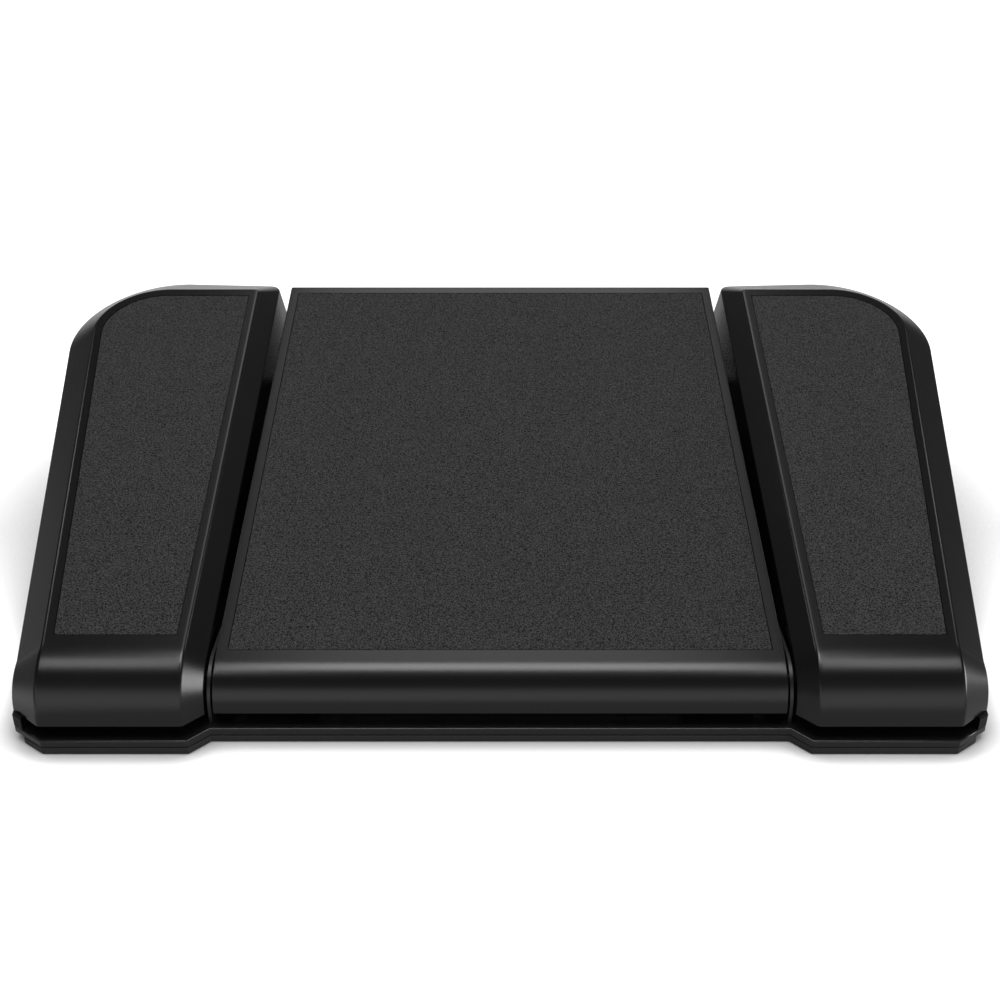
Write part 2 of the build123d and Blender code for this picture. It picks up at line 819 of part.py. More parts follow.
# Frames under the shells: a plate with webs, barrels, a spring boss, an actuator and a stop leg
centre_screw_x = centre_barrel_near - centre_screw_web_gap
centre_screw_y = deck_place(spring_y, centre_roll_radius, frame_depth) - centre_screw_spring_gap
centre_leg_place = deck_place(leg_y, centre_roll_radius, frame_depth)
side_spring_place = deck_place(spring_y, side_roll_radius, frame_depth)
centre_screws = [
    (centre_screw_x, frame_start + screw_front),
    (-centre_screw_x, frame_start + screw_front),
    (centre_screw_x, centre_screw_y),
    (-centre_screw_x, centre_screw_y),
    (0, centre_leg_place - centre_screw_leg_gap),
]
side_screws = [
    (side_barrel_far + screw_web_gap, frame_start + screw_front),
    (outer_barrel_near - outer_screw_web_gap, frame_start + screw_front - screw_stagger),
    ((side_barrel_far + outer_barrel_near) / 2, side_spring_place - side_screw_spring_gap),
    (outer_barrel_far + outer_screw_reach, side_spring_place - outer_screw_spring_gap),
]


def arm_outline(radius, y_end, low):
    """Side view of what hangs under the frame plate between the barrel and y_end."""
    lean = barrel_radius * math.cos(math.radians(45))
    start = hinge_y - (radius - frame_top_depth) * math.sin(rise) + frame_start * math.cos(rise)
    inside = frame_depth - frame_thickness / 2
    return [
        (hinge_y - lean, hinge_height + lean),
        (start, deck_height(radius, inside, start)),
        (y_end, deck_height(radius, inside, y_end)),
        (y_end, low),
        (hinge_y + lean, hinge_height - lean),
    ]


def web_outline(radius):
    """Side view of the long web: deep at the hinge, running out under the plate."""
    inside = frame_depth - frame_thickness / 2
    y_near = hinge_y + arm_reach / 2
    y_far = spring_y - web_setback
    return [
        (y_near, deck_height(radius, inside, y_near)),
        (y_far, deck_height(radius, inside, y_far)),
        (y_far, deck_height(radius, frame_depth, y_far)),
        (hinge_y + arm_reach, hinge_height),
        (y_near, hinge_height),
    ]


def pedal_frame(plate, radius, barrels, webs, springs, actuator_x, legs, screw_points):
    """Frame of one pedal: the plate's outline is given, the rest hangs from it."""
    under = deck(radius, frame_depth)
    roof = deck_height(radius, frame_top_depth, leg_y + leg_thickness)
    with BuildPart() as frame:
        with BuildSketch(Plane.XY.offset(spring_top)):
            with Locations(*[(x, spring_y) for x in springs]):
                Circle(spring_diameter / 2 + boss_rim)
        extrude(amount=roof - spring_top)
        with BuildSketch(Plane.XY.offset(plunger_top + rest_gap)):
            with Locations((actuator_x, switch_y)):
                Circle(actuator_diameter / 2)
        extrude(amount=roof - plunger_top - rest_gap)
        with BuildSketch(Plane.XY.offset(leg_bottom)):
            with Locations(*[(x, leg_y + leg_thickness / 2) for x in legs]):
                Rectangle(leg_width, leg_thickness)
        extrude(amount=roof - leg_bottom)
        split(bisect_by=deck(radius, frame_top_depth), keep=Keep.BOTTOM)
        with BuildSketch(Plane.XY.offset(leg_bottom)):
            with Locations(*[(x, leg_y - lip_length / 2) for x in legs]):
                Rectangle(leg_width, lip_length)
        extrude(amount=lip_thickness)
        with BuildSketch(Plane.XY.offset(spring_top)):
            with Locations(*[(x, spring_y) for x in springs]):
                Circle(nub_diameter / 2)
        extrude(amount=-nub_height)
        with BuildSketch(under):
            add(plate)
        extrude(amount=frame_thickness)
        for near, far in barrels:
            with BuildSketch(Plane.YZ.offset(near)):
                with BuildLine():
                    Polyline(*arm_outline(radius, hinge_y + arm_reach, hinge_height), close=True)
                make_face()
                with Locations((hinge_y, hinge_height)):
                    Circle(barrel_radius)
            extrude(amount=far - near)
        for near in webs:
            with BuildSketch(Plane.YZ.offset(near)):
                with BuildLine():
                    Polyline(*web_outline(radius), close=True)
                make_face()
            extrude(amount=web_thickness)
        with BuildSketch(Plane.YZ.offset(-base_depth)):
            with Locations((hinge_y, hinge_height)):
                Circle(bush_radius + snug)
        extrude(amount=2 * base_depth, mode=Mode.SUBTRACT)
        with BuildSketch(under):
            with Locations(*screw_points):
                Circle(screw_diameter / 2 + fit)
        extrude(amount=frame_thickness, mode=Mode.SUBTRACT)
    return frame.part


frame_end = deck_place(leg_y + leg_thickness, centre_roll_radius, frame_depth) + frame_margin
centre_frame = pedal_frame(
    block_outline(centre_half - side_wall - frame_margin, frame_start, frame_end),
    centre_roll_radius,
    [(centre_barrel_near, centre_barrel_far), (-centre_barrel_far, -centre_barrel_near)],
    [centre_barrel_near, -centre_barrel_near - web_thickness],
    [centre_spring, -centre_spring],
    0,
    [centre_leg, -centre_leg],
    centre_screws,
)
centre_frame.label = "centre_frame"
export_step(centre_frame, "parts/centre_frame.step")

side_frame_end = deck_place(leg_y + leg_thickness, side_roll_radius, frame_depth) + frame_margin
right_frame = pedal_frame(
    pedal_outline(
        Plane.XY, top_near, top_far, top_near_spread, top_far_spread,
        frame_start - frame_margin, side_frame_end + frame_margin, top_corner, frame_margin,
    ),
    side_roll_radius,
    [
        (side_barrel_near, side_barrel_far),
        (outer_barrel_near, outer_barrel_far),
    ],
    [side_barrel_far - web_thickness, outer_barrel_near],
    [side_spring],
    switch_side,
    [side_leg],
    side_screws,
)
right_frame.label = "right_frame"
export_step(right_frame, "parts/right_frame.step")


def bushes(spans):
    """Bearing bushes pressed into the barrels."""
    with BuildPart() as group:
        for near, far in spans:
            with BuildSketch(Plane.YZ.offset(near)):
                with Locations((hinge_y, hinge_height)):
                    Circle(bush_radius)
                    Circle(shaft_diameter / 2 + fit, mode=Mode.SUBTRACT)
            extrude(amount=far - near)
    return group.part


centre_bushes = bushes([(centre_barrel_near, centre_barrel_far), (-centre_barrel_far, -centre_barrel_near)])
centre_bushes.label = "centre_bushes"
export_step(centre_bushes, "parts/centre_bushes.step")
right_bushes = bushes([(side_barrel_near, side_barrel_far), (outer_barrel_near, outer_barrel_far)])
right_bushes.label = "right_bushes"
export_step(right_bushes, "parts/right_bushes.step")


def hollow_shell(block, hollow, radius, pocket, cheeks, screw_points):
    """Pedal shell: the block hollowed from below, with pad pocket, shaft notches and screw bosses."""
    with BuildPart() as shell:
        add(block)
        add(hollow, mode=Mode.SUBTRACT)
        with BuildSketch(deck(radius, frame_top_depth)):
            with Locations(*screw_points):
                Circle(boss_diameter / 2)
        extrude(amount=standoff)
        with BuildSketch(deck(radius, frame_top_depth)):
            with Locations(*screw_points):
                Circle(screw_diameter / 2 - snug)
        extrude(amount=screw_depth, mode=Mode.SUBTRACT)
        with BuildSketch(deck(radius, pad_thickness)):
            add(pocket)
        extrude(amount=pad_thickness + cut, mode=Mode.SUBTRACT)
        for near, far in cheeks:
            with BuildSketch(Plane.YZ.offset(near)):
                with Locations((hinge_y, hinge_height)):
                    Circle(shaft_diameter / 2 + notch_gap)
                with Locations((hinge_y, hinge_height / 2)):
                    Rectangle(shaft_diameter + 2 * notch_gap, hinge_height)
            extrude(amount=far - near, mode=Mode.SUBTRACT)
    return shell.part


def edges_to_round(block, radius):
    """Edges round a pedal's top face and along its roll, without the seam between the two."""
    plane = deck(radius)

    def on_deck(edge):
        spot = plane.to_local_coords(edge.center())
        return abs(spot.Z) < fit and spot.Y > fit

    def on_roll(edge):
        return edge.geom_type == GeomType.CIRCLE and abs(edge.radius - radius) < fit

    return block.edges().filter_by(lambda edge: on_deck(edge) or on_roll(edge))


with BuildPart() as centre_block:
    extrude(centre_profile(), amount=centre_half, both=True)
    fillet(edges_to_round(centre_block, centre_roll_radius), edge_round)
with BuildPart() as centre_hollow:
    extrude(centre_profile(wall, 2 * wall), amount=centre_half - side_wall, both=True)
centre_shell = hollow_shell(
    centre_block.part,
    centre_hollow.part,
    centre_roll_radius,
    block_outline(centre_half - pad_side_border, pad_heel_border, centre_length - pad_toe_border),
    [
        (-centre_half - cut, -centre_half + side_wall + cut),
        (centre_half - side_wall - cut, centre_half + cut),
    ],
    centre_screws,
)
plug_top = board_top + socket_height / 2 + plug_height / 2
plug_drop = (rear_point()[0] - hinge_y) * math.tan(press)
with BuildPart() as centre_pedal_shell:
    add(centre_shell)
    with BuildSketch(Plane.XY.offset(roll_height)):
        with Locations((0, rear_wall_y + rear_wall_inset / 2)):
            Rectangle(plug_width + 4 * cut, rear_wall_inset)
    extrude(amount=plug_top + plug_drop + cut - roll_height, mode=Mode.SUBTRACT)
centre_pedal_shell.part.label = "centre_shell"
export_step(centre_pedal_shell.part, "parts/centre_shell.step")

with BuildPart() as right_block:
    add(side_block())
    fillet(edges_to_round(right_block, side_roll_radius), edge_round)
right_hollow = side_block(side_wall, wall, 3 * wall, -cut)
right_shell = hollow_shell(
    right_block.part,
    right_hollow,
    side_roll_radius,
    pedal_outline(
        Plane.XY, top_near, top_far, top_near_spread, top_far_spread,
        side_pad_heel - side_pad_border, side_length - side_pad_toe + side_pad_border,
        top_corner, side_pad_border,
    ),
    [(rim_near - cut, rim_near + side_wall + cut)],
    side_screws,
)
right_shell.label = "right_shell"
export_step(right_shell, "parts/right_shell.step")


def pad(outline, radius):
    """Grip pad glued in its pocket, flush with the shell."""
    with BuildPart() as result:
        with BuildSketch(deck(radius, pad_thickness)):
            add(outline)
        extrude(amount=pad_thickness)
        top = max(result.faces(), key=lambda face: face.normal_at().Z)
        fillet(top.edges(), pad_round)
    return result.part


centre_pad = pad(
    block_outline(
        centre_half - pad_side_border - pad_gap,
        pad_heel_border + pad_gap,
        centre_length - pad_toe_border - pad_gap,
    ),
    centre_roll_radius,
)
centre_pad.label = "centre_pad"
export_step(centre_pad, "parts/centre_pad.step")
right_pad = pad(
    pedal_outline(
        Plane.XY, top_near, top_far, top_near_spread, top_far_spread,
        side_pad_heel - side_pad_border, side_length - side_pad_toe + side_pad_border,
        top_corner, side_pad_border + pad_gap,
    ),
    side_roll_radius,
)
right_pad.label = "right_pad"
export_step(right_pad, "parts/right_pad.step")


def frame_screws(radius, points):
    """Screws from below through the frame into the shell's bosses."""
    return screws(
        deck(radius, frame_depth), points, frame_thickness + screw_depth - screw_relief,
        screw_diameter - 4 * snug, screw_head,
    )


centre_frame_screws = frame_screws(centre_roll_radius, centre_screws)
centre_frame_screws.label = "centre_frame_screws"
export_step(centre_frame_screws, "parts/centre_frame_screws.step")
right_frame_screws = frame_screws(side_roll_radius, side_screws)
right_frame_screws.label = "right_frame_screws"
export_step(right_frame_screws, "parts/right_frame_screws.step")

# The left side is the right side's mirror image
for name, piece in {
    "hinge_plate": right_hinge_plate.part,
    "frame": right_frame,
    "bushes": right_bushes,
    "shell": right_shell,
    "pad": right_pad,
    "frame_screws": right_frame_screws,
}.items():
    with BuildPart() as left:
        mirror(piece, about=Plane.YZ)
    left.part.label = f"left_{name}"
    export_step(left.part, f"parts/left_{name}.step")
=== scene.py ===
import json
import math

import bmesh
import bpy
import numpy as np
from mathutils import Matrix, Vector


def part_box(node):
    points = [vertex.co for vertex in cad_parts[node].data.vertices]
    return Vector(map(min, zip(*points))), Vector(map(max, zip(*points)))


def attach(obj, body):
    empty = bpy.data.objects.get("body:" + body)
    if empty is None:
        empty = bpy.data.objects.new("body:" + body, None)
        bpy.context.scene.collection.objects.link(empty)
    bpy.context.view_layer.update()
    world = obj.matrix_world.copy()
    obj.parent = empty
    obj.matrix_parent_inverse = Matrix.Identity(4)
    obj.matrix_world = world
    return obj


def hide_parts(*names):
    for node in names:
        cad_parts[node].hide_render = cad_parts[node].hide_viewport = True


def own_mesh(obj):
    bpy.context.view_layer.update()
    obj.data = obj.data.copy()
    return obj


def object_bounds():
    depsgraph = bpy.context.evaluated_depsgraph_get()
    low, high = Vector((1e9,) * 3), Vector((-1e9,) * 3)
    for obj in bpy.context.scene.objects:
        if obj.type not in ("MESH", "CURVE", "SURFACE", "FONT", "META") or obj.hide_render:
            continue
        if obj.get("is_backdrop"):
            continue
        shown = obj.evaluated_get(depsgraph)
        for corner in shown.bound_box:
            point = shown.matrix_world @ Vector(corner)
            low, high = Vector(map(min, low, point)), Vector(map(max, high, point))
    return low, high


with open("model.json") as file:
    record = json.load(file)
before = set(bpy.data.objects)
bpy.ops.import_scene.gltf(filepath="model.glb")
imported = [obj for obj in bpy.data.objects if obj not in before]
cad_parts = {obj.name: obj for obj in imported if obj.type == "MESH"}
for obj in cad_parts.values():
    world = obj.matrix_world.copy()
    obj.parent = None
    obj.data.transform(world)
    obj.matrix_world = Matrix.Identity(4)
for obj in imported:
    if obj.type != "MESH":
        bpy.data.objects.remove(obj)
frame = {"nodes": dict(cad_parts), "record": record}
cad_low, cad_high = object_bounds()


# Viewpoint. The camera stands in front of the heel edge and looks down at the pedals,
# close enough for the far edges to draw together.
camera_place, camera_dip = (0.0, -0.3016, 0.1669), 27.56
film_width, lens_length, film_shift = 36.0, 45.56, -0.0002

camera_data = bpy.data.cameras.new("viewpoint")
camera_data.sensor_width = film_width
camera_data.lens = lens_length
camera_data.shift_x = film_shift
camera = bpy.data.objects.new("viewpoint", camera_data)
camera.location = camera_place
camera.rotation_euler = (math.radians(90 - camera_dip), 0.0, 0.0)
bpy.context.scene.collection.objects.link(camera)
bpy.context.scene.camera = camera


# Studio. A white paper sweep runs under the switch from front to back, in a darker room. Soft boxes
# hang behind it, over the hinge line and to the sides, and a wide fill adds no highlight.
# Places and sizes are in metres, and a level of 1 is white.
soft_boxes = {
    "rear_box": dict(place=(0.0, 0.69, 1.2), size=(0.57, 1.12), level=1.4),
    "front_box": dict(place=(0.0, -0.175, 1.2), size=(0.60, 0.39), level=7.0),
    "left_front_box": dict(place=(-0.48, -0.41, 1.2), size=(0.26, 0.37), level=4.3),
    "right_front_box": dict(place=(0.48, -0.41, 1.2), size=(0.26, 0.37), level=4.3),
    "left_rear_box": dict(place=(-0.84, 0.56, 0.92), size=(0.27, 0.27), level=3.0, aimed=True),
    "right_rear_box": dict(place=(0.84, 0.56, 0.92), size=(0.27, 0.27), level=3.0, aimed=True),
    "right_strip": dict(place=(1.0, -0.13, 0.18), size=(0.48, 0.32), level=8.0, aimed=True),
    "fill": dict(place=(0.0, -0.35, 1.7), size=(2.4, 2.0), level=0.45, mirrored=False),
}
plain_white = (1, 1, 1, 1)
# The dark room's level, and how much of white there is by the turn from the rear, where 1 is the
# front, and by the rise from the floor, where 1 is straight up.
room_level = 0.032
round_stops = [
    (0, 0.8), (0.12, 0.8), (0.17, 0.02), (0.25, 0.02),
    (0.42, 0.03), (0.5, 0.05), (0.64, 0.1), (0.8, 0.95),
]
upward_stops = [(0, 0.8), (0.06, 1.0), (0.18, 1.0), (0.27, 0.45), (0.35, 0.08), (0.5, 0.02), (0.7, 0.0)]


def soft_box(name, place, size, level, aimed=False, mirrored=True):
    """Flat lamp facing down or at the switch; its power is pi times its area times its level."""
    lamp_data = bpy.data.lights.new(name, "AREA")
    lamp_data.shape = "RECTANGLE"
    lamp_data.size, lamp_data.size_y = size
    lamp_data.energy = math.pi * size[0] * size[1] * level
    lamp = bpy.data.objects.new(name, lamp_data)
    lamp.location = place
    if aimed:
        lamp.rotation_euler = Vector(place).to_track_quat("Z", "Y").to_euler()
    lamp.visible_camera = False
    lamp.visible_glossy = mirrored
    bpy.context.scene.collection.objects.link(lamp)


def add_node(tree, kind, **inputs):
    """Adds a node of that kind and sets its inputs by name."""
    node = tree.nodes.new(kind)
    for name, value in inputs.items():
        node.inputs[name.replace("_", " ")].default_value = value
    return node


def math_node(tree, operation, *values):
    """Works out one operation on one or two numbers, each a plain value or another node's output."""
    node = tree.nodes.new("ShaderNodeMath")
    node.operation = operation
    for socket, value in zip(node.inputs, values):
        if isinstance(value, bpy.types.NodeSocket):
            tree.links.new(value, socket)
        else:
            socket.default_value = value
    return node.outputs[0]


def fade(tree, value, start, end, low=0.0, high=1.0):
    """Number that goes from low to high while the value goes from start to end."""
    spread = tree.nodes.new("ShaderNodeMapRange")
    limits = {"From Min": start, "From Max": end, "To Min": low, "To Max": high}
    for name, limit in limits.items():
        spread.inputs[name].default_value = limit
    tree.links.new(value, spread.inputs["Value"])
    return spread.outputs[0]


def grey_ramp(tree, stops, source):
    """Grey levels between the given stops."""
    ramp = tree.nodes.new("ShaderNodeValToRGB")
    made = ramp.color_ramp.elements
    made.remove(made[1])
    for number, (place, level) in enumerate(stops):
        stop = made.new(place) if number else made[0]
        stop.position = place
        stop.color = (level, level, level, 1)
    tree.links.new(source, ramp.inputs[0])
    return ramp.outputs[0]


def background_rays(tree, sweep):
    """Share of the white background in a ray: all for the camera's, the sweep's for mirrored ones."""
    path = tree.nodes.new("ShaderNodeLightPath")
    mirrored = math_node(tree, "ADD", path.outputs["Is Glossy Ray"], path.outputs["Is Transmission Ray"])
    mirrored = math_node(tree, "MULTIPLY", mirrored, sweep)
    return math_node(tree, "ADD", path.outputs["Is Camera Ray"], mirrored)


for name, values in soft_boxes.items():
    soft_box(name, **values)

world = bpy.data.worlds.new("studio")
bpy.context.scene.world = world
world.use_nodes = True
sky = world.node_tree
sky.nodes.clear()
direction = sky.nodes.new("ShaderNodeTexCoord")
axes = sky.nodes.new("ShaderNodeSeparateXYZ")
sky.links.new(direction.outputs["Generated"], axes.inputs[0])
turn = math_node(sky, "ABSOLUTE", math_node(sky, "ARCTAN2", axes.outputs["X"], axes.outputs["Y"]))
rise = math_node(sky, "ARCSINE", axes.outputs["Z"])
around_it = grey_ramp(sky, round_stops, math_node(sky, "DIVIDE", turn, math.pi))
upward = grey_ramp(sky, upward_stops, math_node(sky, "DIVIDE", rise, math.pi / 2))
sweep = math_node(sky, "MULTIPLY", around_it, upward)
room_light = add_node(sky, "ShaderNodeBackground", Strength=1.0)
sky.links.new(math_node(sky, "ADD", sweep, room_level), room_light.inputs["Color"])
white = add_node(sky, "ShaderNodeBackground", Strength=1.0, Color=plain_white)
sky_mix = sky.nodes.new("ShaderNodeMixShader")
sky.links.new(background_rays(sky, sweep), sky_mix.inputs[0])
sky.links.new(room_light.outputs[0], sky_mix.inputs[1])
sky.links.new(white.outputs[0], sky_mix.inputs[2])
sky_out = sky.nodes.new("ShaderNodeOutputWorld")
sky.links.new(sky_mix.outputs[0], sky_out.inputs["Surface"])


# Floor. Matt paper, pale along the middle and darker to both sides. The camera sees it white
# everywhere, but for the shadow close round the base.
floor_reach = 8.0
paper_grey, paper_half, paper_fade, ground_share = 0.46, 0.19, 0.08, 0.15
# The shadow reaches less far in front of the switch than beside it.
front_line, side_line = -0.06, 0.0
front_reach, side_reach, shadow_depth = 0.008, 0.045, 3.4
# Mirrored rays find white where the paper is wide and clear enough of the switch.
sweep_half, sweep_fade = 0.3, 0.12
clear_start, clear_end = 0.25, 0.45
mirrored_white = 0.55
# They also find a painted reflection: a grey glow that only mirrored rays see, on a strip close to its
# left side and, further back, on all the floor left of it.
strip_soft, strip_start, strip_end = 0.01, -0.15, -0.19
rear_start, rear_end, painted_reflection_level = 0.05, 0.15, 0.42

floor_material = bpy.data.materials.new("pale_floor")
floor_material.use_nodes = True
tree = floor_material.node_tree
tree.nodes.clear()
place = tree.nodes.new("ShaderNodeTexCoord")
axes = tree.nodes.new("ShaderNodeSeparateXYZ")
tree.links.new(place.outputs["Object"], axes.inputs[0])
apart = tree.nodes.new("ShaderNodeVectorMath")
apart.operation = "LENGTH"
tree.links.new(place.outputs["Object"], apart.inputs[0])
along_x, along_y, away = axes.outputs["X"], axes.outputs["Y"], apart.outputs["Value"]
across = math_node(tree, "ABSOLUTE", along_x)

clear = fade(tree, away, clear_start, clear_end)
sweep = fade(tree, across, sweep_half, sweep_half + sweep_fade, 1.0, 0.0)
sweep = math_node(tree, "MULTIPLY", math_node(tree, "MULTIPLY", sweep, clear), mirrored_white)
# Painted reflection: left of the switch the floor glows grey for mirrored rays only.
left_side = -cad_high[0]
left_only = fade(tree, along_x, left_side + strip_soft, left_side - strip_soft, 0.0, painted_reflection_level)
painted_reflection = fade(tree, along_x, strip_start, strip_end, 1.0, 0.0)
painted_reflection = math_node(tree, "MAXIMUM", painted_reflection, fade(tree, along_y, rear_start, rear_end))
painted_reflection = math_node(tree, "MULTIPLY", left_only, painted_reflection)
rays = background_rays(tree, math_node(tree, "MAXIMUM", sweep, painted_reflection))

openness = tree.nodes.new("ShaderNodeAmbientOcclusion")
reach = fade(tree, along_y, front_line, side_line, front_reach, side_reach)
tree.links.new(reach, openness.inputs["Distance"])
shadow = math_node(tree, "POWER", openness.outputs["AO"], shadow_depth)
shade = fade(tree, across, paper_half, paper_half + paper_fade, paper_grey, paper_grey * ground_share)
made_up = math_node(tree, "ADD", math_node(tree, "SUBTRACT", paper_grey, shade), 1.0)
lift = math_node(tree, "MULTIPLY", rays, made_up)
glow = add_node(tree, "ShaderNodeEmission", Color=plain_white)
tree.links.new(math_node(tree, "MULTIPLY", lift, shadow), glow.inputs["Strength"])
paper = tree.nodes.new("ShaderNodeBsdfDiffuse")
tree.links.new(shade, paper.inputs["Color"])
floor_sum = tree.nodes.new("ShaderNodeAddShader")
tree.links.new(paper.outputs[0], floor_sum.inputs[0])
tree.links.new(glow.outputs[0], floor_sum.inputs[1])
floor_out = tree.nodes.new("ShaderNodeOutputMaterial")
tree.links.new(floor_sum.outputs[0], floor_out.inputs["Surface"])

floor_mesh = bpy.data.meshes.new("floor")
floor_corners = [(x * floor_reach, y * floor_reach, 0) for x, y in ((-1, -1), (1, -1), (1, 1), (-1, 1))]
floor_mesh.from_pydata(floor_corners, [], [(0, 1, 2, 3)])
floor_mesh.materials.append(floor_material)
floor = bpy.data.objects.new("floor", floor_mesh)
bpy.context.scene.collection.objects.link(floor)
floor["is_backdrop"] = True
bpy.context.scene.view_settings.view_transform = "Standard"


# Base. A grooved rubber mat, and a thin black steel plate glued on it that shows all round
# as a second layer; both edges are broken by a small radius. Sizes are in millimetres.
mm = 0.001
front, rear = -95.0, 95.0
mat_inset, layer = 2.2, 1.7
# Corners along the right half of the front edge: how far off the middle, and how far behind the front.
base_points = [(60.2, 4.1), (64.05, 0.0), (94.1, 0.0), (101.1, 5.2)]
splay = math.tan(math.radians(8.2))
rear_corner, rear_corner_steps = 45.0, 28
edge_radius, arc_steps = 0.4, 6
groove_width, groove_pitch, groove_depth, groove_margin, groove_count = 2.0, 8.0, 0.5, 8.0, 10
below_mat = -1.0
# How meshes are closed and shaded: lengths in metres under which points merge and slivers go, the
# angle from which an edge is sharp, and how strongly large faces set the normals.
weld_distance, sliver_length = 2e-6, 1e-6
sharp_angle, flat_weight = math.radians(35), 80
# Every finish's roughness drifts in patches of this fineness, and its grain has this height.
drift_scale, drift_detail = 40.0, 3.0
grain_detail, grain_height = 2.0, 0.0002


def corner_arc(before, corner, after, radius, steps):
    """Points of the circle of that radius that touches both lines through the corner.

    It touches them the radius over the tangent of half their angle away from the corner, and its
    middle lies between them, the radius over the sine of that half away.
    """
    a, b, c = (np.asarray(p, float) for p in (before, corner, after))
    to_a = (a - b) / np.linalg.norm(a - b)
    to_c = (c - b) / np.linalg.norm(c - b)
    half = math.acos(np.clip(to_a @ to_c, -1, 1)) / 2
    start = b + to_a * radius / math.tan(half)
    middle = b + (to_a + to_c) / np.linalg.norm(to_a + to_c) * radius / math.sin(half)
    spin = np.sign(to_a[0] * to_c[1] - to_a[1] * to_c[0]) * -1
    angles = np.linspace(0, spin * (math.pi - 2 * half), steps)[:, None]
    arm = start - middle
    turned = np.stack([-arm[1], arm[0]])
    return middle + arm * np.cos(angles) + turned * np.sin(angles)


def base_loop(side_inset):
    """Footprint of one base layer as a closed loop of (x, y), right half first, then its mirror."""
    side = base_points[3][0] - side_inset
    share = (side - base_points[2][0]) / (base_points[3][0] - base_points[2][0])
    cut = front + base_points[3][1] * share
    corner = (side + (rear - cut) * splay, rear)
    right = [(x, front + y) for x, y in base_points[:3]] + [(side, cut)]
    arc = corner_arc((side, cut), corner, (0, rear), rear_corner - side_inset, rear_corner_steps)
    half = np.vstack([right, arc])
    return np.vstack([half, half[::-1] * (-1, 1)])


def inward(loop):
    """Steps that move every side of a closed counter-clockwise loop inwards by one.

    A point's step is the sum of its two sides' inward normals over one plus their dot product.
    """
    along = np.roll(loop, -1, 0) - loop
    along /= np.linalg.norm(along, axis=1)[:, None]
    left = np.stack([-along[:, 1], along[:, 0]], 1)
    both = left + np.roll(left, 1, 0)
    return both / (1 + (left * np.roll(left, 1, 0)).sum(1))[:, None]


def surface(name, grids, material, fans=()):
    """A closed mesh from grids of points (rows x columns x 3, millimetres) welded at their edges.

    Each quad joins four neighbours of a grid; a fan is a flat closed loop filled as one face.
    """
    points, faces, first = [], [], 0
    for grid in grids:
        rows, columns = grid.shape[:2]
        index = first + np.arange(rows * columns).reshape(rows, columns)
        quads = np.stack([index[:-1, :-1], index[:-1, 1:], index[1:, 1:], index[1:, :-1]], -1)
        points.append(grid.reshape(-1, 3))
        faces.extend(quads.reshape(-1, 4).tolist())
        first += rows * columns
    for loop in fans:
        points.append(loop)
        faces.append(list(range(first, first + len(loop))))
        first += len(loop)
    mesh = bpy.data.meshes.new(name)
    mesh.from_pydata((np.vstack(points) * mm).tolist(), [], faces)
    shape = bmesh.new()
    shape.from_mesh(mesh)
    bmesh.ops.remove_doubles(shape, verts=shape.verts, dist=weld_distance)
    bmesh.ops.dissolve_degenerate(shape, edges=shape.edges, dist=sliver_length)
    bmesh.ops.recalc_face_normals(shape, faces=shape.faces)
    shape.to_mesh(mesh)
    shape.free()
    mesh.shade_smooth()
    mesh.set_sharp_from_angle(angle=sharp_angle)
    mesh.materials.append(material)
    piece = bpy.data.objects.new(name, mesh)
    bpy.context.scene.collection.objects.link(piece)
    flats = piece.modifiers.new("flats", "WEIGHTED_NORMAL")
    flats.weight = flat_weight
    flats.keep_sharp = True
    return piece


def slab_grid(loop, low, high, radius):
    """Wall of a flat layer: the loop carried up a profile that is upright between two quarter circles.

    A point steps inwards by the radius less the radius times the sine or cosine of the turn.
    """
    turn = np.linspace(0, math.pi / 2, arc_steps)
    steps = np.concatenate([radius * (1 - np.sin(turn)), radius * (1 - np.cos(turn))])
    levels = np.concatenate([low + radius * (1 - np.cos(turn)), high - radius * (1 - np.sin(turn))])
    closed = np.vstack([loop, loop[:1]])
    miter = inward(loop)
    miter = np.vstack([miter, miter[:1]])
    flat = closed[None] + miter[None] * steps[:, None, None]
    height = np.broadcast_to(levels[:, None, None], flat.shape[:2] + (1,))
    return np.concatenate([flat, height], -1)


def plain_finish(
    name, colour, roughness, grain=0.0, grain_scale=0.0, metallic=0.0, mottle=0.15, specular=0.5
):
    """Principled finish with a fine bump and a slow drift of roughness over the piece."""
    material = bpy.data.materials.new(name)
    material.use_nodes = True
    tree = material.node_tree
    shader = tree.nodes["Principled BSDF"]
    shader.inputs["Base Color"].default_value = (*colour, 1)
    shader.inputs["Metallic"].default_value = metallic
    shader.inputs["Specular IOR Level"].default_value = specular
    place = tree.nodes.new("ShaderNodeTexCoord")
    drift = add_node(tree, "ShaderNodeTexNoise", Scale=drift_scale, Detail=drift_detail)
    tree.links.new(place.outputs["Object"], drift.inputs["Vector"])
    smoothest, roughest = roughness * (1 - mottle), roughness * (1 + mottle)
    drifting = fade(tree, drift.outputs["Fac"], 0.0, 1.0, smoothest, roughest)
    tree.links.new(drifting, shader.inputs["Roughness"])
    if grain:
        fine = add_node(tree, "ShaderNodeTexNoise", Scale=grain_scale, Detail=grain_detail)
        tree.links.new(place.outputs["Object"], fine.inputs["Vector"])
        bump = add_node(tree, "ShaderNodeBump", Strength=grain, Distance=grain_height)
        tree.links.new(fine.outputs["Fac"], bump.inputs["Height"])
        tree.links.new(bump.outputs[0], shader.inputs["Normal"])
    return material


